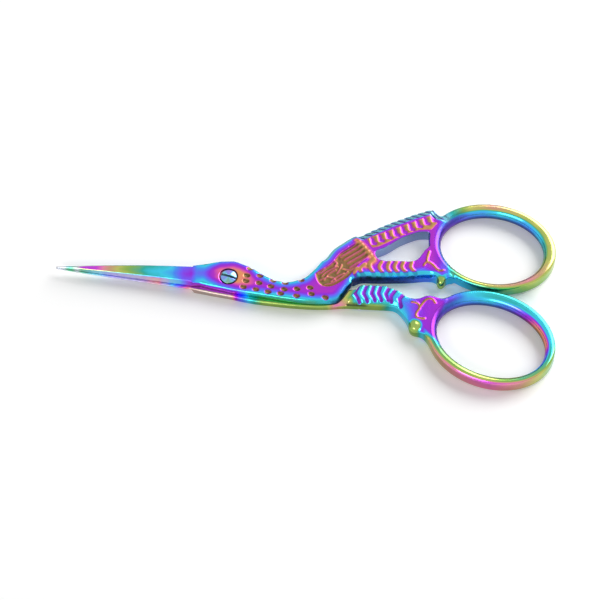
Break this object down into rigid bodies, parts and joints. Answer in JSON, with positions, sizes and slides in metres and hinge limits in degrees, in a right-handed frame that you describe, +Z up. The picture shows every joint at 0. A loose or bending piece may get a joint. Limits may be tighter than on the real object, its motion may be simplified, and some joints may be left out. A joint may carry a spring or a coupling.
{
  "type": "stork embroidery scissors",
  "caption": "Small embroidery scissors shaped like a stork, with slender pointed blades, a slotted pivot screw, a feathered wing and oval finger rings.",
  "frame": {"origin": "on the pivot axis, at the plane the scissors rest on", "axes": "+X from the points to the finger rings, +Y to the wing side, +Z up out of the screw head"},
  "size_m": [0.1154, 0.0493, 0.0039],
  "materials": {
    "rainbow_steel_front": "mirror polish with a rainbow oxide film",
    "rainbow_steel_rear": "mirror polish with a rainbow oxide film",
    "screw_steel": "polished, bluish oxide film"
  },
  "bodies": {
    "rear": {"rear_half": "rainbow_steel_rear", "pivot_screw": "screw_steel"},
    "front": {"front_half": "rainbow_steel_front"}
  },
  "joints": [
    {"name": "pivot", "type": "hinge", "parent": "rear", "child": "front", "pos_m": [0, 0, 0.0018], "axis": [0, 0, 1], "range_deg": [0, 150]}
  ]
}
